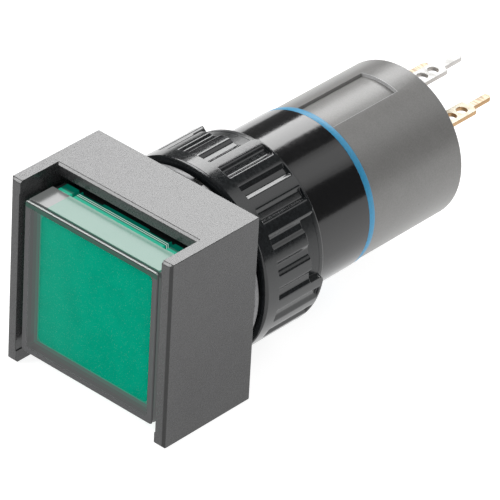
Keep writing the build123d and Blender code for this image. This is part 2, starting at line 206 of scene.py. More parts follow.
class Sheet:
    def __init__(self, name):
        self.material = bpy.data.materials.new(name)
        self.material.use_nodes = True
        self.tree = self.material.node_tree
        self.tree.nodes.clear()

    def add(self, kind, settings=None, inputs=None, output=0):
        node = self.tree.nodes.new(kind)
        for key, value in (settings or {}).items():
            setattr(node, key, value)
        for key, value in (inputs or {}).items():
            if isinstance(value, Link):
                self.tree.links.new(value.socket, node.inputs[key])
            else:
                node.inputs[key].default_value = value
        return Link(self, node.outputs[output]) if node.outputs else node

    def place(self):  # place on the object, in metres
        return self.add("ShaderNodeTexCoord", output="Object")

    def axes(self):
        place = self.place()
        return [self.add("ShaderNodeSeparateXYZ", {}, {0: place}, axis) for axis in "XYZ"]

    def noise(self, size, detail=2.0, stretch=(1.0, 1.0, 1.0)):  # cells about size millimetres wide
        scale = tuple(1.0 / (size * mm * part) for part in stretch)
        place = self.add("ShaderNodeMapping", {}, {"Vector": self.place(), "Scale": scale})
        return self.add("ShaderNodeTexNoise", {}, {"Vector": place, "Scale": 1.0, "Detail": detail})

    def blend(self, share, first, second):
        settings = {"data_type": "RGBA"}
        return self.add("ShaderNodeMix", settings, {0: share, 6: first, 7: second}, 2)

    def bump(self, height, strength, depth):
        inputs = {"Height": height, "Strength": strength, "Distance": depth * mm}
        return self.add("ShaderNodeBump", {}, inputs)

    def finish(self, inputs):
        surface = self.add("ShaderNodeBsdfPrincipled", {}, inputs)
        self.add("ShaderNodeOutputMaterial", {}, {"Surface": surface})
        return self.material


def shade(tone, factor=1.0):
    return (tone[0] * factor, tone[1] * factor, tone[2] * factor, 1.0)


# Moulded plastics and rubber all share one recipe
plasticSet = {
    "sparkMatteHead": {
        "tone": (0.032, 0.032, 0.033), "toneChange": 0.3, "cloudSize": 1.6, "specular": 0.6,
        "roughness": 0.22, "roughnessChange": 0.10, "grainSize": 0.13, "grainBump": 0.18, "coat": 0.0,
        # painted shade: the head's upright edges that face forwards and sideways at once are painted darker
        "corners": {"share": 0.9, "from": 0.3, "to": 0.42, "toneShare": 0.2, "rougher": 0.4},
    },
    "glossBarrel": {
        "tone": (0.004, 0.004, 0.0045), "toneChange": 0.1, "cloudSize": 3.0,
        "roughness": 0.13, "roughnessChange": 0.07, "grainSize": 0.35, "grainBump": 0.012, "coat": 0.18,
    },
    "glossNut": {
        "tone": (0.007, 0.0085, 0.0095), "toneChange": 0.3, "cloudSize": 0.7,
        "roughness": 0.17, "roughnessChange": 0.12, "grainSize": 0.3, "grainBump": 0.015, "coat": 0.22,
        "sunken": {"radius": 8.65, "soft": 0.03, "rougher": 0.14},
    },
    "gasketRubber": {
        "tone": (0.02, 0.02, 0.02), "toneChange": 0.2, "cloudSize": 0.8,
        "roughness": 0.75, "roughnessChange": 0.1, "grainSize": 0.12, "grainBump": 0.2, "coat": 0.0,
    },
    "satinLockRing": {
        "tone": (0.20, 0.20, 0.205), "toneChange": 0.15, "cloudSize": 1.0,
        "roughness": 0.35, "roughnessChange": 0.1, "grainSize": 0.2, "grainBump": 0.08, "coat": 0.0,
    },
    "blueBand": {
        "tone": (0.026, 0.265, 0.48), "toneChange": 0.1, "cloudSize": 1.2,
        "roughness": 0.42, "roughnessChange": 0.06, "grainSize": 0.15, "grainBump": 0.08, "coat": 0.0,
    },
    "mouldedGreyBlock": {
        "tone": (0.197, 0.194, 0.188), "toneChange": 0.08, "cloudSize": 1.3, "specular": 0.52,
        "roughness": 0.32, "roughnessChange": 0.1, "grainSize": 0.13, "grainBump": 0.12, "coat": 0.0,
        # painted highlight: light lines along the sunken panel's edges
        "panel": {
            "halfAngle": 16.0, "gap": 0.1, "length": 8.15, "radius": 9.0,
            "lineHalf": 0.07, "lineCore": 0.6, "cornerSoft": 0.01, "tone": 0.42,
        },
    },
    "mouldedInnerBlack": {
        "tone": (0.012, 0.013, 0.013), "toneChange": 0.15, "cloudSize": 1.0,
        "roughness": 0.4, "roughnessChange": 0.08, "grainSize": 0.2, "grainBump": 0.06, "coat": 0.0,
    },
    "opalDiffuser": {
        "tone": (0.82, 0.84, 0.80), "toneChange": 0.03, "cloudSize": 0.8,
        "roughness": 0.5, "roughnessChange": 0.05, "grainSize": 0.1, "grainBump": 0.05, "coat": 0.0,
    },
    "reflectorWhite": {
        "tone": (0.78, 0.78, 0.75), "toneChange": 0.04, "cloudSize": 1.2,
        "roughness": 0.45, "roughnessChange": 0.06, "grainSize": 0.15, "grainBump": 0.06, "coat": 0.0,
    },
    "milkyLamp": {
        "tone": (0.80, 0.86, 0.80), "toneChange": 0.04, "cloudSize": 1.5,
        "roughness": 0.2, "roughnessChange": 0.04, "grainSize": 0.3, "grainBump": 0.02, "coat": 0.4,
    },
}

# What every plastic has alike
plasticMix = {"grainShare": 0.75, "darkBelow": 0.3, "lightAbove": 0.7, "specular": 0.5, "coatRoughness": 0.12}


def shadedUprightEdges(sheet, values):  # 1 on the head's front right edges and its rear left ones, which are painted darker as shade
    normal = sheet.add("ShaderNodeTexCoord", output="Normal")
    x, y = [sheet.add("ShaderNodeSeparateXYZ", {}, {0: normal}, axis) for axis in "XY"]
    return (x * y * -1.0).rise(values["from"], values["to"])


def panelEdgeHighlights(sheet, values):  # thin lines painted lighter as a highlight along the right side and the rear of the sunken panel
    x, y, z = sheet.axes()
    angle = sheet.add("ShaderNodeMath", {"operation": "ARCTAN2"}, {0: x, 1: z})
    half = radians(values["halfAngle"])
    thin = values["lineHalf"] * mm
    core = thin * values["lineCore"]
    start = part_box("block_ring")[1][1] + values["gap"] * mm
    end = start + values["length"] * mm
    side = 1.0 - abs((angle - half) * (values["radius"] * mm)).rise(core, thin)
    side = side * y.rise(start, start + thin) * (1.0 - y.rise(end, end + thin))
    rear = 1.0 - abs(y - end).rise(core, thin)
    return side.larger(rear * (1.0 - abs(angle).rise(half, half + values["cornerSoft"])))


def sunkenPlaces(sheet, values):  # 1 nearer the barrel axis than the radius
    x, y, z = sheet.axes()
    radius = (x * x + z * z).root()
    return 1.0 - radius.rise((values["radius"] - values["soft"]) * mm, values["radius"] * mm)


def plasticFinish(name, values):
    sheet = Sheet(name)
    cloud = sheet.noise(values["cloudSize"], 3.0)
    grain = sheet.noise(values["grainSize"], 1.0)
    mixed = grain * plasticMix["grainShare"] + cloud * (1.0 - plasticMix["grainShare"])
    darker = shade(values["tone"], 1.0 - values["toneChange"])
    lighter = shade(values["tone"], 1.0 + values["toneChange"])
    tone = sheet.blend(mixed.rise(plasticMix["darkBelow"], plasticMix["lightAbove"]), darker, lighter)
    rough = values["roughness"] + (mixed - 0.5) * (values["roughnessChange"] * 2.0)
    coat = values["coat"]
    # painted shade on the head's upright edges
    if "corners" in values:
        corners = values["corners"]
        corner = shadedUprightEdges(sheet, corners) * corners["share"]
        tone = sheet.blend(corner, tone, shade(values["tone"], corners["toneShare"]))
        rough = rough + corner * corners["rougher"]
    # painted highlight along the sunken panel's edges
    if "panel" in values:
        edge = values["panel"]["tone"]
        tone = sheet.blend(panelEdgeHighlights(sheet, values["panel"]), tone, (edge, edge, edge, 1.0))
    if "sunken" in values:  # the mould leaves the sunken places dull
        dull = sunkenPlaces(sheet, values["sunken"])
        rough = rough + dull * values["sunken"]["rougher"]
        coat = coat * (1.0 - dull)
    return sheet.finish({
        "Base Color": tone,
        "Roughness": rough,
        "Specular IOR Level": values.get("specular", plasticMix["specular"]),
        "Coat Weight": coat,
        "Coat Roughness": plasticMix["coatRoughness"],
        "Normal": sheet.bump(grain, values["grainBump"], values["grainSize"] / 2),
    })


# Plated sheet metal: rolling lines along the blade, a little tarnish in clouds
metalSet = {
    "silverPlate": {
        "tone": (0.40, 0.398, 0.39), "tarnish": (0.35, 0.345, 0.33), "tarnishShare": 0.5,
        "edge": (0.58, 0.56, 0.54), "tip": (0.40, 0.398, 0.39), "tipStart": 60.0,
        "roughness": 0.5, "roughnessChange": 0.1, "lineWidth": 0.035, "lineLength": 2.5, "lineBump": 0.12,
    },
    "goldPlate": {
        "tone": (0.44, 0.41, 0.34), "tarnish": (0.40, 0.34, 0.24), "tarnishShare": 0.5,
        "edge": (0.56, 0.37, 0.20), "tip": (0.74, 0.60, 0.45), "tipStart": 33.6,
        "roughness": 0.5, "roughnessChange": 0.1, "lineWidth": 0.035, "lineLength": 2.5, "lineBump": 0.12,
    },
    "contactSilver": {
        "tone": (0.82, 0.81, 0.79), "tarnish": (0.6, 0.58, 0.55), "tarnishShare": 0.4,
        "edge": (0.7, 0.69, 0.67), "tip": (0.7, 0.69, 0.67), "tipStart": 60.0,
        "roughness": 0.22, "roughnessChange": 0.08, "lineWidth": 0.03, "lineLength": 0.3, "lineBump": 0.06,
    },
    "springSteel": {
        "tone": (0.56, 0.56, 0.57), "tarnish": (0.36, 0.35, 0.35), "tarnishShare": 0.4,
        "edge": (0.56, 0.56, 0.57), "tip": (0.56, 0.56, 0.57), "tipStart": 60.0,
        "roughness": 0.25, "roughnessChange": 0.08, "lineWidth": 0.05, "lineLength": 0.4, "lineBump": 0.06,
    },
}

# What every metal has alike
metalMix = {
    "cloudSize": 0.9, "tarnishFrom": 0.45, "tarnishTo": 0.75, "tarnishRougher": 0.15,
    "edgeBelow": 0.4, "faceAbove": 0.9,  # how far a surface looks up or down
    "tipLead": 0.3, "tipRun": 0.5, "tipRougher": 0.1,
    "ribSize": (1.2, 0.16, 1.2), "ribFrom": 0.4, "ribTo": 0.6, "ribShade": 0.6, "ribBump": 3.0,
    "bumpDepth": 0.02,
}


def metalFinish(name, values):
    sheet = Sheet(name)
    mix = metalMix
    width, length = values["lineWidth"], values["lineLength"]
    lines = sheet.noise(1.0, 2.0, (width, length, width))
    tarnish = sheet.noise(mix["cloudSize"], 3.0).rise(mix["tarnishFrom"], mix["tarnishTo"])
    tarnish = tarnish * values["tarnishShare"]
    normal = sheet.add("ShaderNodeTexCoord", output="Normal")
    flat = abs(sheet.add("ShaderNodeSeparateXYZ", {}, {0: normal}, "Z"))
    plated = flat.rise(mix["edgeBelow"], mix["faceAbove"])  # the sheared edges have a tone of their own
    y = sheet.axes()[1]
    tip = y.rise((values["tipStart"] - mix["tipLead"]) * mm, (values["tipStart"] + mix["tipRun"]) * mm)
    ribs = sheet.noise(1.0, 1.0, mix["ribSize"])  # coined ribs across the tip
    coined = ribs.rise(mix["ribFrom"], mix["ribTo"])
    # painted shade: the rib valleys are darker
    coined = sheet.blend(coined, shade(values["tip"], mix["ribShade"]), shade(values["tip"]))
    rolled = sheet.blend(tarnish, shade(values["tone"]), shade(values["tarnish"]))
    rolled = sheet.blend(tip, rolled, coined)
    rough = values["roughness"] + (lines - 0.5) * values["roughnessChange"]
    return sheet.finish({
        "Base Color": sheet.blend(plated, shade(values["edge"]), rolled),
        "Metallic": 1.0,
        "Roughness": rough + tarnish * mix["tarnishRougher"] + tip * mix["tipRougher"],
        "Normal": sheet.bump(lines + tip * ribs * mix["ribBump"], values["lineBump"], mix["bumpDepth"]),
    })


# Green lens: dyed translucent plastic with a fine pearl in it, painted with a glow of its own though no lamp
# lights it
lensFinishSet = {
    "tone": (0.0008, 0.232, 0.143),
    "deep": (0.0006, 0.212, 0.130),
    "cloudSize": 2.2,
    "pearlSize": 0.09,
    "pearlShare": 0.25,
    "deepBelow": 0.3,
    "toneAbove": 0.6,
    "fleck": (0.10, 0.27, 0.22),
    "fleckFrom": 0.6,
    "fleckTo": 0.75,
    "fleckShare": 0.4,
    "palerLeft": 0.07,  # share of a paler tone on the left, none on the right
    "hazeFrom": -6.5,
    "hazeTo": 1.0,
    "faceFrom": -9.45,  # the lens's face turns into its rim from here
    "faceTo": -9.37,
    "shoulder": (0.045, 0.115, 0.095),  # painted light: a glow on the lens's rim seen through the edge of the cover's window, lifting it out of the border's shade
    "collarFrom": -9.12,  # and its rim into the collar
    "collarTo": -9.02,
    # painted light: the collar's glow, bright in front and dimmer behind as shade
    "collar": (0.0, 1.15, 0.72),
    "collarShadedGlow": (0.0, 0.34, 0.23),
    "collarBright": -6.78,  # painted light: the collar is painted bright as far as here, and dimmer behind as shade
    "collarSoft": 0.05,
    "shadeShare": 0.25,  # painted shade: the dye keeps this share of its tone behind the collar's bright part
    "collarHighlightLines": (-6.62, -6.42),  # painted highlights: thin lines along the collar's edges
    "lineHalf": 0.035,
    "lineHighlightTone": (3.2, 4.2, 3.8),
    "lineEnd": 5.3,
    "lineLow": 6.0,
    "lineHigh": 6.2,
    "cornerShadeTone": (0.03, 0.034, 0.034),
    "cornerStart": 6.7,  # painted shade: the collar's corners are dark beyond here
    "cornerFrom": -7.22,
    "cornerTo": -7.12,
    "roughness": 0.35,
    "roughnessChange": 0.1,
    "coatRoughness": 0.12,
    # painted light: the lens glows though no lamp inside it is lit
    "glow": 0.22,
    "under": 0.05,  # share of light scattered inside
    "underDepth": 0.8,
    "pearlBump": 0.04,
    "bumpDepth": 0.03,
}


def lensFinish(name, values):
    sheet = Sheet(name)
    x, y, z = sheet.axes()

    def size(key):
        return values[key] * mm

    soft, thin = size("collarSoft"), size("lineHalf")
    pearl = sheet.noise(values["pearlSize"], 1.0)
    cloud = sheet.noise(values["cloudSize"], 2.0)
    mixed = pearl * values["pearlShare"] + cloud * (1.0 - values["pearlShare"])
    mixed = mixed.rise(values["deepBelow"], values["toneAbove"])
    dyed = sheet.blend(mixed, shade(values["deep"]), shade(values["tone"]))
    palerLeft = (1.0 - x.rise(size("hazeFrom"), size("hazeTo"))) * values["palerLeft"]
    flecks = pearl.rise(values["fleckFrom"], values["fleckTo"]) * values["fleckShare"]
    dyed = sheet.blend(flecks + palerLeft, dyed, shade(values["fleck"]))

    face = 1.0 - y.rise(size("faceFrom"), size("faceTo"))
    front = 1.0 - y.rise(size("collarFrom"), size("collarTo"))
    # painted light on the lens's rim
    rim = shade(values["shoulder"], 1.0 / values["glow"])
    # painted light and shade on the collar: bright in front, dimmer behind
    deep = y.rise(size("collarBright") - soft, size("collarBright") + soft)
    collar = sheet.blend(deep, shade(values["collar"]), shade(values["collarShadedGlow"]))
    # painted highlights along the collar's edges
    for lineY in values["collarHighlightLines"]:
        line = (1.0 - abs(y - lineY * mm).rise(thin / 2, thin)) * z.rise(size("lineLow"), size("lineHigh"))
        line = line * (1.0 - abs(x).rise(size("lineEnd") - soft, size("lineEnd")))
        collar = sheet.blend(line, collar, shade(values["lineHighlightTone"]))
    # painted shade behind the collar's bright part
    dyed = sheet.blend(deep * (1.0 - front), dyed, shade(values["tone"], values["shadeShare"]))
    glow = sheet.blend(front, collar, sheet.blend(face, rim, dyed))

    # painted shade: the collar's corners are dark and lose their glow
    corner = abs(x).rise(size("cornerStart") - soft, size("cornerStart") + soft)
    corner = corner * y.rise(size("cornerFrom"), size("cornerTo"))
    dyed = sheet.blend(corner, dyed, shade(values["cornerShadeTone"]))
    glow = sheet.blend(corner, glow, (0.0, 0.0, 0.0, 1.0))
    return sheet.finish({
        "Base Color": dyed,
        "Roughness": values["roughness"] + (pearl - 0.5) * values["roughnessChange"],
        "Specular IOR Level": 0.0,
        "Coat Weight": 1.0 - front,
        "Coat Roughness": values["coatRoughness"],
        "Subsurface Weight": values["under"],
        "Subsurface Scale": size("underDepth"),
        "Emission Color": glow,
        "Emission Strength": values["glow"],
        "Normal": sheet.bump(pearl, values["pearlBump"], values["bumpDepth"]),
    })


# Smoked cover: clear over the window with a satin border, and walls painted with a glow as if the green lens
# shone through them
coverFinishSet = {
    "borderTone": (0.058, 0.058, 0.06),
    "bandGlowTone": (0.089, 0.128, 0.115),  # painted light: a glow on the inside of the walls
    "plateGlowTone": (0.094, 0.095, 0.095),  # painted light: a glow on the plate's own edge
    "edgeHighlightTone": (0.32, 0.35, 0.34),  # painted highlight on the bevel above the window
    "wallGlowTone": (0.02, 0.17, 0.11),  # painted light: the lens's glow on the outside of the walls
    "rimGlowTone": (0.25, 0.42, 0.35),  # and a painted reflection on their rear rim, as a brighter glow
    "topTone": (0.0, 0.05, 0.03),  # the border above the window, with the lens behind it
    # dark base of the walls, and painted shade in the groove and along the plate's upper edge
    "darkAndShadeTone": (0.006, 0.008, 0.008),
    "endGlowTone": (0.13, 0.135, 0.132),  # painted light in the ends of the upper wall, which are clear
    "windowHalf": 6.86,
    "windowCorner": 0.35,
    "edgeSoft": 0.04,
    "thin": 0.02,  # how soft the other edges are
    "borderAlpha": 0.95,
    "faceEnd": -10.16,  # places along the axis, from the face back
    "grooveStart": -10.03,
    "grooveEnd": -9.75,
    "plateFrom": -9.46,
    "plateTo": -9.44,
    "clearEnd": -9.03,
    "rimFrom": -7.6,
    "rimTo": -7.2,
    "innerFrom": 7.14,  # places across it
    "innerTo": 7.24,
    "rimStart": 7.27,  # a painted shade line runs along the plate's upper edge from here
    "topStart": 7.3,
    "sideHalf": 6.3,  # the walls are painted with the lens's glow as far as here
    "sideShift": 1.0,
    "cloudSize": 1.8,
    "roughness": 0.13,
    "roughnessChange": 0.06,
    "borderRougher": 0.42,
}


def coverFinish(name, values):
    sheet = Sheet(name)
    x, y, z = sheet.axes()

    def size(key):
        return values[key] * mm

    def tone(key):
        return shade(values[key])

    soft, thin = size("edgeSoft"), size("thin")
    reach = abs(x).larger(abs(z))
    corner = size("windowHalf") - size("windowCorner")
    beyond = (abs(x) - corner).larger(0.0), (abs(z) - corner).larger(0.0)
    distance = (beyond[0] * beyond[0] + beyond[1] * beyond[1]).root() + (reach - corner).smaller(0.0)
    border = distance.rise(size("windowCorner") - soft, size("windowCorner") + soft)

    bevel = y.rise(size("faceEnd") - thin / 4, size("faceEnd") + thin / 4)
    side = y.rise(size("grooveEnd") - thin, size("grooveEnd") + thin)
    groove = y.rise(size("grooveStart") - thin / 2, size("grooveStart") + thin / 2) * (1.0 - side)
    plateEdge = 1.0 - y.rise(size("clearEnd") - thin, size("clearEnd"))
    rear = y.rise(size("rimFrom"), size("rimTo"))
    inside = (1.0 - reach.rise(size("innerFrom"), size("innerTo"))) * side
    plate = inside * (1.0 - y.rise(size("plateFrom"), size("plateTo")))
    upper = z.rise(size("windowHalf") - thin, size("windowHalf"))
    rim = z.rise(size("rimStart"), size("rimStart") + thin) * (1.0 - bevel)
    top = z.rise(size("topStart"), size("topStart") + thin)
    beside = abs(x - size("sideShift")).smaller(abs(z))
    lensBehind = 1.0 - beside.rise(size("sideHalf") - soft, size("sideHalf") + soft)
    shown = (side + groove * (1.0 - upper)).smaller(1.0)  # walls, and the groove beside and below the window

    # painted light: the walls' glow
    paintedWallGlow = sheet.blend(rear, tone("wallGlowTone"), tone("rimGlowTone"))
    paintedWallGlow = sheet.blend(lensBehind, sheet.blend(upper, tone("darkAndShadeTone"), tone("endGlowTone")), paintedWallGlow)
    paintedWallGlow = sheet.blend(inside, paintedWallGlow, tone("bandGlowTone"))
    paintedWallGlow = sheet.blend(plateEdge * (1.0 - top), paintedWallGlow, tone("plateGlowTone"))
    front = sheet.blend(upper * (1.0 - bevel), tone("borderTone"), tone("topTone"))
    # painted highlight on the bevel above the window
    front = sheet.blend(bevel * top, front, tone("edgeHighlightTone"))
    # painted shade in the groove and along the plate's upper edge
    front = sheet.blend((groove + rim).smaller(1.0), front, tone("darkAndShadeTone"))
    rough = sheet.noise(values["cloudSize"], 2.0) * values["roughnessChange"] + values["roughness"]
    return sheet.finish({
        "Base Color": sheet.blend(shown, front, tone("darkAndShadeTone")),
        "Roughness": rough + (1.0 - side) * (1.0 - bevel * top) * values["borderRougher"],
        "Alpha": (border * values["borderAlpha"]).larger(side) * (1.0 - plate),
        "Emission Color": sheet.blend(shown, (0.0, 0.0, 0.0, 1.0), paintedWallGlow),
        "Emission Strength": 1.0,
    })


finishes = {name: plasticFinish(name, values) for name, values in plasticSet.items()}
finishes.update({name: metalFinish(name, values) for name, values in metalSet.items()})
finishes["greenLens"] = lensFinish("greenLens", lensFinishSet)
finishes["smokedCover"] = coverFinish("smokedCover", coverFinishSet)
print("finishes made:", len(finishes))


def makeFloor(values):
    sheet = Sheet("paleFloor")
    speck = sheet.noise(values["speckSize"], 2.0)
    darker, lighter = values["tone"], values["tone"] + values["toneChange"]
    finishes["paleFloor"] = sheet.finish({
        "Base Color": sheet.blend(speck, (darker, darker, darker, 1.0), (lighter, lighter, lighter, 1.0)),
        "Roughness": values["roughness"],
        "Emission Color": (1.0, 1.0, 1.0, 1.0),
        "Emission Strength": values["glow"],
    })
    half = values["size"] * mm / 2
    corners = [(-half, -half), (half, -half), (half, half), (-half, half)]
    mesh = bpy.data.meshes.new("floor")
    mesh.from_pydata([(x, y, values["height"] * mm) for x, y in corners], [], [(0, 1, 2, 3)])
    mesh.materials.append(finishes["paleFloor"])
    floor = bpy.data.objects.new("floor", mesh)
    scene.collection.objects.link(floor)
    floor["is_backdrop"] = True
    world = bpy.data.worlds.new("softRoom")
    world.use_nodes = True
    air = world.node_tree.nodes["Background"]
    air.inputs["Color"].default_value = (*values["airTone"], 1.0)
    air.inputs["Strength"].default_value = values["airGlow"]
    scene.world = world


makeFloor(floorSet)
print("floor laid")


# Mesh tools

weldSet = {"distance": 0.002, "flatAngle": 0.4}  # corners this close join, faces this flat become one


def newPiece(name, mesh, finish, body, replaced):
    mesh.name = name
    mesh.materials.clear()
    mesh.materials.append(finishes[finish])
    piece = bpy.data.objects.new(name, mesh)
    scene.collection.objects.link(piece)
    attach(piece, body)
    if replaced:
        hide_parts(*replaced)
    return piece


def weldedCopy(node):  # a copy of a CAD node's mesh with shared corners and whole faces
    shell = bmesh.new()
    shell.from_mesh(nodes[node].data)
    for layer in list(shell.loops.layers.uv):
        shell.loops.layers.uv.remove(layer)
    bmesh.ops.remove_doubles(shell, verts=shell.verts, dist=weldSet["distance"] * mm)
    bmesh.ops.dissolve_limit(
        shell, angle_limit=radians(weldSet["flatAngle"]), use_dissolve_boundaries=False,
        verts=shell.verts, edges=shell.edges, delimit=set(),
    )
    mesh = bpy.data.meshes.new(node)
    shell.to_mesh(mesh)
    shell.free()
    for attribute in list(mesh.attributes):
        if attribute.name in ("custom_normal", "sharp_face", "sharp_edge"):
            mesh.attributes.remove(attribute)
    return mesh


def bakedMesh(holder):  # the evaluated mesh of an object, as plain data
    depsgraph = bpy.context.evaluated_depsgraph_get()
    depsgraph.update()
    mesh = bpy.data.meshes.new_from_object(holder.evaluated_get(depsgraph))
    holder.modifiers.clear()
    bpy.data.objects.remove(holder)
    return mesh


def softened(mesh, width, steps=2, angle=28.0):  # round every edge a little, with clean highlights
    holder = bpy.data.objects.new("holder", mesh)
    scene.collection.objects.link(holder)
    mesh.shade_smooth()
    bevel = holder.modifiers.new("bevel", "BEVEL")
    bevel.width = width * mm
    bevel.segments = steps
    bevel.limit_method = "ANGLE"
    bevel.angle_limit = radians(angle)
    bevel.miter_outer = "MITER_ARC"
    bevel.use_clamp_overlap = True
    weighted = holder.modifiers.new("weighted", "WEIGHTED_NORMAL")
    weighted.keep_sharp = True
    weighted.weight = 100
    return bakedMesh(holder)


# Pieces that take their shape from the solids, with softened edges.
# Each has its node, finish, material slot, body, edge radius and steps round the edge.
softenedSet = {
    "squareHead": ("guard_bezel", "sparkMatteHead", "head_plastic", "housing", 0.085, 3),
    "lensCup": ("colour_lens", "greenLens", "green_lens", "button", 0.05, 2),
    "faceGasket": ("panel_gasket", "gasketRubber", "gasket_rubber", "housing", 0.08, 2),
    "notchedRing": ("lock_ring", "satinLockRing", "ring_plastic", "housing", 0.06, 2),
    "blueRing": ("block_ring", "blueBand", "blue_plastic", "housing", 0.06, 2),
    "greyBlock": ("block_case", "mouldedGreyBlock", "block_grey", "housing", 0.13, 4),
    "lampBladeTop": ("terminal_lamp_top", "silverPlate", "silver_plate", "housing", 0.02, 2),
    "lampBladeBottom": ("terminal_lamp_bottom", "silverPlate", "silver_plate", "housing", 0.02, 2),
    "closedBladeRight": ("terminal_closed_right", "goldPlate", "gold_plate", "housing", 0.02, 2),
    "closedBladeLeft": ("terminal_closed_left", "goldPlate", "gold_plate", "housing", 0.02, 2),
    "openBladeRight": ("terminal_open_right", "goldPlate", "gold_plate", "housing", 0.02, 2),
    "openBladeLeft": ("terminal_open_left", "goldPlate", "gold_plate", "housing", 0.02, 2),
}

for pieceName, (node, finish, slot, body, width, steps) in softenedSet.items():
    newPiece(pieceName, softened(weldedCopy(node), width, steps), finish, body, [node])
print("softened pieces made:", len(softenedSet))


# Smoked cover: a thin-walled box of rounded squares, with a bevelled plate and a groove behind it
coverSet = {
    "front": -10.17, "rear": -7.12, "plateEnd": -9.47,
    "half": 7.45, "innerHalf": 7.09, "corner": 0.32, "innerCorner": 0.2,
    "bevel": 0.08, "land": 0.06, "grooveWidth": 0.28, "grooveDepth": 0.3, "edge": 0.025,
    "support": 0.08, "cornerSteps": 8,
}


def squareLoop(half, corner, y, steps):  # corners of a rounded square, anticlockwise from the face
    points = []
    for quarter in range(4):
        turn = radians(90.0 * quarter)
        for step in range(steps + 1):
            angle = turn + radians(90.0) * step / steps
            x = (half - corner) * (1 if quarter in (0, 3) else -1) + corner * cos(angle)
            z = (half - corner) * (1 if quarter in (0, 1) else -1) + corner * sin(angle)
            points.append((x * mm, y * mm, z * mm))
    return points


def makeCover(values):
    half, corner, bevel, deep = (values[key] for key in ("half", "corner", "bevel", "grooveDepth"))
    landEnd = values["front"] + bevel + values["land"]
    grooveEnd = landEnd + values["grooveWidth"]
    loops = [
        (half - bevel, corner - bevel, values["front"]), (half, corner, values["front"] + bevel),
        (half, corner, landEnd), (half - deep, corner - deep, landEnd),
        (half - deep, corner - deep, grooveEnd), (half, corner, grooveEnd),
        (half, corner, grooveEnd + values["support"]), (half, corner, values["rear"] - values["support"]),
        (half, corner, values["rear"]),
        (values["innerHalf"], values["innerCorner"], values["rear"]),
        (values["innerHalf"], values["innerCorner"], values["plateEnd"]),
    ]
    steps = values["cornerSteps"]
    count = 4 * (steps + 1)
    corners = [point for loop in loops for point in squareLoop(*loop, steps)]
    faces = [tuple(range(count)), tuple(range((len(loops) - 1) * count, len(loops) * count))[::-1]]
    for row in range(len(loops) - 1):
        for place in range(count):
            nextPlace = (place + 1) % count
            first, second = row * count, (row + 1) * count
            faces.append((first + nextPlace, first + place, second + place, second + nextPlace))
    mesh = bpy.data.meshes.new("cover")
    mesh.from_pydata(corners, [], faces)
    mesh.update()
    cover = softened(mesh, values["edge"])
    newPiece("clearCover", cover, "smokedCover", "button", ["lens_cap"])


makeCover(coverSet)
print("cover made")


# Geometry Nodes trees: one method adds a node, named inputs carry the sizes

class Recipe:
    def __init__(self, name, sizes):
        self.tree = bpy.data.node_groups.new(name, "GeometryNodeTree")
        face = self.tree.interface
        face.new_socket("Geometry", in_out="INPUT", socket_type="NodeSocketGeometry")
        face.new_socket("Geometry", in_out="OUTPUT", socket_type="NodeSocketGeometry")
        for key, value in sizes.items():
            kind = "NodeSocketInt" if isinstance(value, int) else "NodeSocketFloat"
            face.new_socket(key, in_out="INPUT", socket_type=kind).default_value = value
        face.new_socket("Finish", in_out="INPUT", socket_type="NodeSocketMaterial")
        self.start = self.tree.nodes.new("NodeGroupInput")
        self.end = self.tree.nodes.new("NodeGroupOutput")

    def add(self, kind, settings=None, inputs=None, output=0):
        node = self.tree.nodes.new(kind)
        for key, value in (settings or {}).items():
            setattr(node, key, value)
        for key, value in (inputs or {}).items():
            if isinstance(value, bpy.types.NodeSocket):
                self.tree.links.new(value, node.inputs[key])
            else:
                node.inputs[key].default_value = value
        return node.outputs[output]

    def size(self, key):
        return self.start.outputs[key]

    def sum(self, operation, first, second):
        return self.add("ShaderNodeMath", {"operation": operation}, {0: first, 1: second})

    def close(self, geometry):
        whole = self.add("GeometryNodeRealizeInstances", {}, {"Geometry": geometry})
        smooth = self.add("GeometryNodeSetShadeSmooth", {}, {"Geometry": whole})
        painted = self.add(
            "GeometryNodeSetMaterial", {}, {"Geometry": smooth, "Material": self.size("Finish")}
        )
        self.tree.links.new(painted, self.end.inputs[0])


def grown(recipe, mesh, sizes, finish):  # run a recipe on a mesh and keep the plain result
    holder = bpy.data.objects.new("holder", mesh)
    scene.collection.objects.link(holder)
    modifier = holder.modifiers.new("recipe", "NODES")
    modifier.node_group = recipe.tree
    sockets = {item.name: item.identifier for item in recipe.tree.interface.items_tree}
    for key, value in sizes.items():
        modifier[sockets[key]] = value
    modifier[sockets["Finish"]] = finishes[finish]
    return bakedMesh(holder)


def ringRecipe():  # copies of one sector round the barrel axis, joined into one skin
    sizes = {"Copies": 4, "Join": 0.01 * mm}
    recipe = Recipe("ringOfSectors", sizes)
    points = recipe.add("GeometryNodePoints", {}, {"Count": recipe.size("Copies")})
    index = recipe.add("GeometryNodeInputIndex")
    turn = recipe.sum("MULTIPLY", index, recipe.sum("DIVIDE", 2 * pi, recipe.size("Copies")))
    angles = recipe.add("ShaderNodeCombineXYZ", {}, {"Y": turn})
    rotation = recipe.add("FunctionNodeEulerToRotation", {}, {0: angles})
    inputs = {"Points": points, "Instance": recipe.start.outputs[0], "Rotation": rotation}
    copies = recipe.add("GeometryNodeInstanceOnPoints", {}, inputs)
    whole = recipe.add("GeometryNodeRealizeInstances", {}, {"Geometry": copies})
    joined = recipe.add(
        "GeometryNodeMergeByDistance", {}, {"Geometry": whole, "Distance": recipe.size("Join")}
    )
    recipe.close(joined)
    return recipe


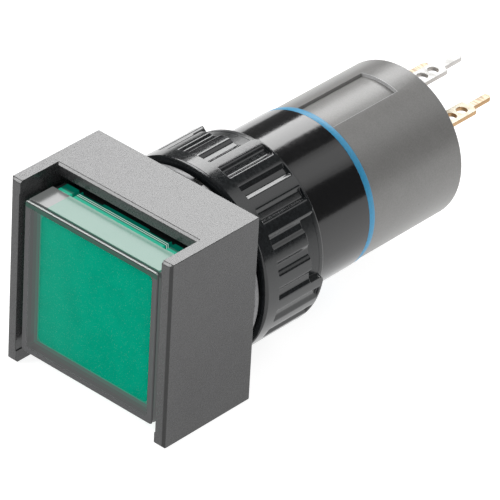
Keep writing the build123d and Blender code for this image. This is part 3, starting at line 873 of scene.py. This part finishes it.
def helixRecipe(name, sizes, profile):  # a profile swept along a helix on the Y axis
    recipe = Recipe(name, sizes)
    inputs = {
        "Resolution": recipe.size("Steps"), "Rotations": recipe.size("Turns"),
        "Start Radius": recipe.size("Radius"), "End Radius": recipe.size("Radius"),
        "Height": recipe.size("Height"),
    }
    path = recipe.add("GeometryNodeCurveSpiral", {}, inputs)
    path = recipe.add("GeometryNodeSetCurveNormal", {"mode": "Z_UP"}, {"Curve": path})
    inputs = {"Curve": path, "Profile Curve": profile(recipe), "Fill Caps": True}
    sweep = recipe.add("GeometryNodeCurveToMesh", {}, inputs)
    shift = recipe.add("ShaderNodeCombineXYZ", {}, {"Y": recipe.size("Start")})
    inputs = {"Geometry": sweep, "Translation": shift, "Rotation": (-pi / 2, 0.0, 0.0)}
    recipe.close(recipe.add("GeometryNodeTransform", {}, inputs))
    return recipe


# Return springs: round wire wound between two faces
springSet = {
    "returnCoil": {
        "node": "return_spring", "radius": 4.6, "wire": 0.175, "turns": 7.0,
        "start": -3.65, "end": 11.8, "keep": 0.806,
    },
    "sliderCoil": {
        "node": "slider_spring", "radius": 1.1, "wire": 0.125, "turns": 4.0,
        "start": 22.2, "end": 26.8, "keep": 0.348,
    },
}


def wireProfile(recipe):
    inputs = {"Resolution": 12, "Radius": recipe.size("Wire")}
    return recipe.add("GeometryNodeCurvePrimitiveCircle", {"mode": "RADIUS"}, inputs)


springSizes = {"Steps": 48, "Turns": 4.0, "Radius": mm, "Wire": 0.1 * mm, "Height": mm, "Start": 0.0}
springRecipe = helixRecipe("woundWire", springSizes, wireProfile)
for pieceName, values in springSet.items():
    length = values["end"] - values["start"] - 2 * values["wire"]
    sizes = {
        "Turns": values["turns"], "Radius": values["radius"] * mm, "Wire": values["wire"] * mm,
        "Height": length * mm, "Start": (values["start"] + values["wire"]) * mm,
    }
    mesh = grown(springRecipe, bpy.data.meshes.new(pieceName), sizes, "springSteel")
    coil = newPiece(pieceName, mesh, "springSteel", "housing", [values["node"]])
    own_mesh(coil)
print("springs wound")


# Barrel: the solid's form with a real thread where the nut runs
threadSet = {
    "coreRadius": 7.62,
    "crestRadius": 7.995,
    "pitch": 1.0,
    "rootHalf": 0.42,
    "crestHalf": 0.10,
    "sunkDepth": 0.05,  # the thread's root lies this deep in the core
    "start": 1.3,
    "turns": 6.6,
    "steps": 96,  # round one turn
    "edge": 0.06,
}


def threadProfile(recipe):
    values = threadSet
    low = -values["sunkDepth"] * mm
    high = (values["crestRadius"] - values["coreRadius"]) * mm
    root, crest = values["rootHalf"] * mm, values["crestHalf"] * mm
    points = [(low, -root, 0.0), (high, -crest, 0.0), (high, crest, 0.0), (low, root, 0.0)]
    inputs = {"Point %d" % (place + 1): point for place, point in enumerate(points)}
    return recipe.add("GeometryNodeCurvePrimitiveQuadrilateral", {"mode": "POINTS"}, inputs)


def makeBarrel(values):
    mesh = weldedCopy("threaded_barrel")
    core = values["coreRadius"] * mm
    for corner in mesh.vertices:
        x, y, z = corner.co
        radius = (x * x + z * z) ** 0.5
        if radius > core:
            corner.co = (x * core / radius, y, z * core / radius)
    barrel = softened(mesh, values["edge"])
    newPiece("glossyBarrel", barrel, "glossBarrel", "housing", ["threaded_barrel"])
    sizes = {
        "Steps": values["steps"], "Turns": values["turns"], "Radius": core,
        "Height": values["turns"] * values["pitch"] * mm, "Start": values["start"] * mm,
    }
    recipe = helixRecipe("cutThread", sizes, threadProfile)
    thread = grown(recipe, bpy.data.meshes.new("thread"), {}, "glossBarrel")
    newPiece("barrelThread", thread, "glossBarrel", "housing", ["threaded_barrel"])


makeBarrel(threadSet)
print("barrel and thread made")


# Mounting nut: one quarter is shaped as a height over angle and length, then repeated
nutSet = {
    "start": 1.5, "end": 9.3, "bore": 8.04, "boreChamfer": 0.12, "radius": 9.03, "frontRadius": 8.8,
    "leadEnd": 1.72, "leadSoft": 0.03,
    "pocketPitch": 15.0, "pocketHalf": 4.15, "pocketStart": 3.05, "pocketEnd": 8.4,
    "pocketDepth": 0.26, "pocketDraft": 0.36, "pocketSoft": 0.2, "pocketEndSoft": 0.06,
    "notchPitch": 90.0, "notchMiddle": 14.2, "notchHalf": 18.2, "notchStart": 7.0, "notchFloor": 8.36,
    "crownStart": 8.65, "flangeRadius": 8.38, "toothCorner": 0.6, "rearEdge": 0.3,
    "edgeSoft": 0.11,
    "angleStep": 1.5, "lengthStep": 0.3, "cornerStep": 0.08, "cornerReach": 0.75,  # distances of grid lines
    "edgeLines": (-0.55, -0.3, -0.1, 0.1, 0.3, 0.55), "rearLines": (0.0, 0.03, 0.15, 0.4, 0.7, 1.0),
    "leastStep": 0.12,
}


def smoothStep(value, low, high):
    share = np.clip((value - low) / (high - low), 0.0, 1.0)
    return share * share * (3.0 - 2.0 * share)


def softRamp(value, width, soft):  # 0 to 1 over the width, with rounded ends
    share, softShare = value / width, soft / width
    return (softFloor(share, softShare) - softFloor(share - 1.0, softShare)).clip(0.0, 1.0)


def softFloor(value, soft):  # zero below, the value above, and a parabola between
    share = np.clip((value + soft / 2) / soft, 0.0, 1.0)
    return np.where(value > soft / 2, value, share * share * soft / 2)


def roundedInside(across, along, corner):  # signed distance to a rounded corner, negative inside
    a, b = across + corner, along + corner
    outside = np.hypot(np.maximum(a, 0.0), np.maximum(b, 0.0))
    return outside + np.minimum(np.maximum(a, b), 0.0) - corner


def fromNearest(angle, pitch):  # degrees to the nearest of the places that are one pitch apart
    return np.abs((angle + pitch / 2) % pitch - pitch / 2)


def nutHeight(angle, y, values):  # outer radius over angle in degrees and length in millimetres
    soft = values["edgeSoft"] / 2
    toArc = radians(1.0) * values["radius"]
    lead = np.clip((y - values["start"]) / (values["leadEnd"] - values["start"]), 0.0, 1.0)
    body = values["frontRadius"] + (values["radius"] - values["frontRadius"]) * lead
    across = (values["pocketHalf"] - fromNearest(angle, values["pocketPitch"])) * toArc
    middle = (values["pocketStart"] + values["pocketEnd"]) / 2
    along = (values["pocketEnd"] - values["pocketStart"]) / 2 - np.abs(y - middle)
    sides = softRamp(across, values["pocketDraft"], values["pocketSoft"])
    ends = softRamp(along, values["pocketEndSoft"], values["pocketEndSoft"])
    body = body - values["pocketDepth"] * sides * ends
    fromNotch = fromNearest(angle - values["notchMiddle"], values["notchPitch"])
    fromNotch = (fromNotch - values["notchHalf"]) * toArc
    toothSide = roundedInside(-fromNotch, y - values["crownStart"], values["toothCorner"])
    behind = y > values["notchStart"] + values["toothCorner"]
    toothSide = np.where(behind, toothSide, -fromNotch)
    tooth = smoothStep(-toothSide, -soft, soft)
    inNotch = smoothStep(-fromNotch, -soft, soft) * (y < values["crownStart"])
    low = values["flangeRadius"] + (values["notchFloor"] - values["flangeRadius"]) * inNotch
    crown = smoothStep(y, values["notchStart"] - soft, values["notchStart"] + soft)
    crown = crown * (1.0 - tooth)
    height = body + (low - body) * crown
    rear = np.clip((y - (values["end"] - values["rearEdge"])) / values["rearEdge"], 0.0, 1.0)
    return height - values["rearEdge"] * (1.0 - np.sqrt(np.clip(1.0 - rear * rear, 0.0, 1.0)))


def linesAround(marks, soft, low, high, step, values):  # grid lines, closer together at each mark
    lines = set(np.arange(low, high + step / 2, step).round(5))
    for mark in marks:
        lines |= {round(mark + share * soft, 5) for share in values["edgeLines"]}
    lines = sorted(line for line in lines if low <= line <= high)
    kept = [low]
    for line in lines:
        if line - kept[-1] > soft * values["leastStep"]:
            kept.append(line)
    kept[-1] = high
    return np.array(kept)


def nutAngles(values):  # grid lines over one quarter, in degrees
    degree = radians(1.0) * values["radius"]  # the length of one degree round the nut
    quarter = values["notchPitch"]
    pockets = [base + side * (values["pocketHalf"] - shift)
               for base in np.arange(0.0, quarter + 1.0, values["pocketPitch"])
               for side in (-1, 1) for shift in (0.0, values["pocketDraft"] / degree)]
    notchEnds = [(values["notchMiddle"] + side * values["notchHalf"]) % quarter for side in (-1, 1)]
    corners = [notchEnd + side * reach / degree for notchEnd in notchEnds for side in (-1, 1)
               for reach in np.arange(values["cornerStep"], values["cornerReach"], values["cornerStep"])]
    angles = np.concatenate([
        linesAround(pockets, values["pocketSoft"] / degree, 0.0, quarter, values["angleStep"], values),
        linesAround(notchEnds, values["edgeSoft"] / degree, 0.0, quarter, values["angleStep"], values),
        [line for line in corners if 0.0 < line < quarter],
    ])
    return np.unique(angles.round(4))


def nutLengths(values):  # grid lines along the axis, in millimetres
    start, end, step = values["start"], values["end"], values["lengthStep"]
    narrow, lead = values["pocketEndSoft"], values["leadEnd"]
    pocketEnds = [values["pocketStart"], values["pocketStart"] + narrow]
    pocketEnds += [values["pocketEnd"] - narrow, values["pocketEnd"]]
    notchEnds = [values["notchStart"], values["crownStart"]]
    lengths = np.concatenate([
        linesAround(pocketEnds, narrow, start, end, step, values),
        linesAround(notchEnds, values["edgeSoft"], start, end, step, values),
        np.arange(values["crownStart"] - values["toothCorner"], values["crownStart"], values["cornerStep"]),
        end - values["rearEdge"] * np.array(values["rearLines"]),
        [lead - values["leadSoft"], lead, lead + values["leadSoft"]],
    ])
    return np.unique(lengths.round(4))


def makeNut(values):
    angles, lengths = nutAngles(values), nutLengths(values)
    grid = nutHeight(angles[:, None], lengths[None, :], values)
    start, end, bore, chamfer = [values[key] for key in ("start", "end", "bore", "boreChamfer")]
    inner = [(bore + chamfer, end), (bore, end - chamfer), (bore, start + chamfer), (bore + chamfer, start)]
    loopLength = len(lengths) + len(inner)
    corners = []
    for place, angle in enumerate(angles):
        across, up = cos(radians(angle)), sin(radians(angle))
        loop = list(zip(grid[place], lengths)) + inner
        corners += [(radius * across * mm, y * mm, radius * up * mm) for radius, y in loop]
    faces = []
    for column in range(len(angles) - 1):
        first, second = column * loopLength, (column + 1) * loopLength
        for row in range(loopLength):
            nextRow = (row + 1) % loopLength
            faces.append((first + row, second + row, second + nextRow, first + nextRow))
    mesh = bpy.data.meshes.new("nutSector")
    mesh.from_pydata(corners, [], faces)
    mesh.update()
    return grown(ringRecipe(), mesh, {"Copies": round(360.0 / values["notchPitch"])}, "glossNut")


nutMesh = makeNut(nutSet)
newPiece("ringNut", nutMesh, "glossNut", "nut", ["mounting_nut"])
print("nut made, faces:", len(nutMesh.polygons))


# Inner pieces keep the solids' shape and take a finish
carriedSet = {
    "diffuser_plate": "opalDiffuser",
    "plunger": "mouldedInnerBlack",
    "block_cover": "mouldedInnerBlack",
    "fixed_contacts": "contactSilver",
    "moving_contacts": "contactSilver",
    "bridge_closed": "goldPlate",
    "bridge_open": "goldPlate",
    "contact_slider": "reflectorWhite",
    "lamp_socket": "mouldedInnerBlack",
    "led_lamp": "milkyLamp",
}

for node, finish in carriedSet.items():
    mesh = nodes[node].data
    for place in range(max(1, len(mesh.materials))):
        if mesh.materials:
            mesh.materials[place] = finishes[finish]
        else:
            mesh.materials.append(finishes[finish])
print("carried pieces finished:", len(carriedSet))

sizes = {"cad": [list(corner) for corner in cadBox], "visual": [list(corner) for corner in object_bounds()]}
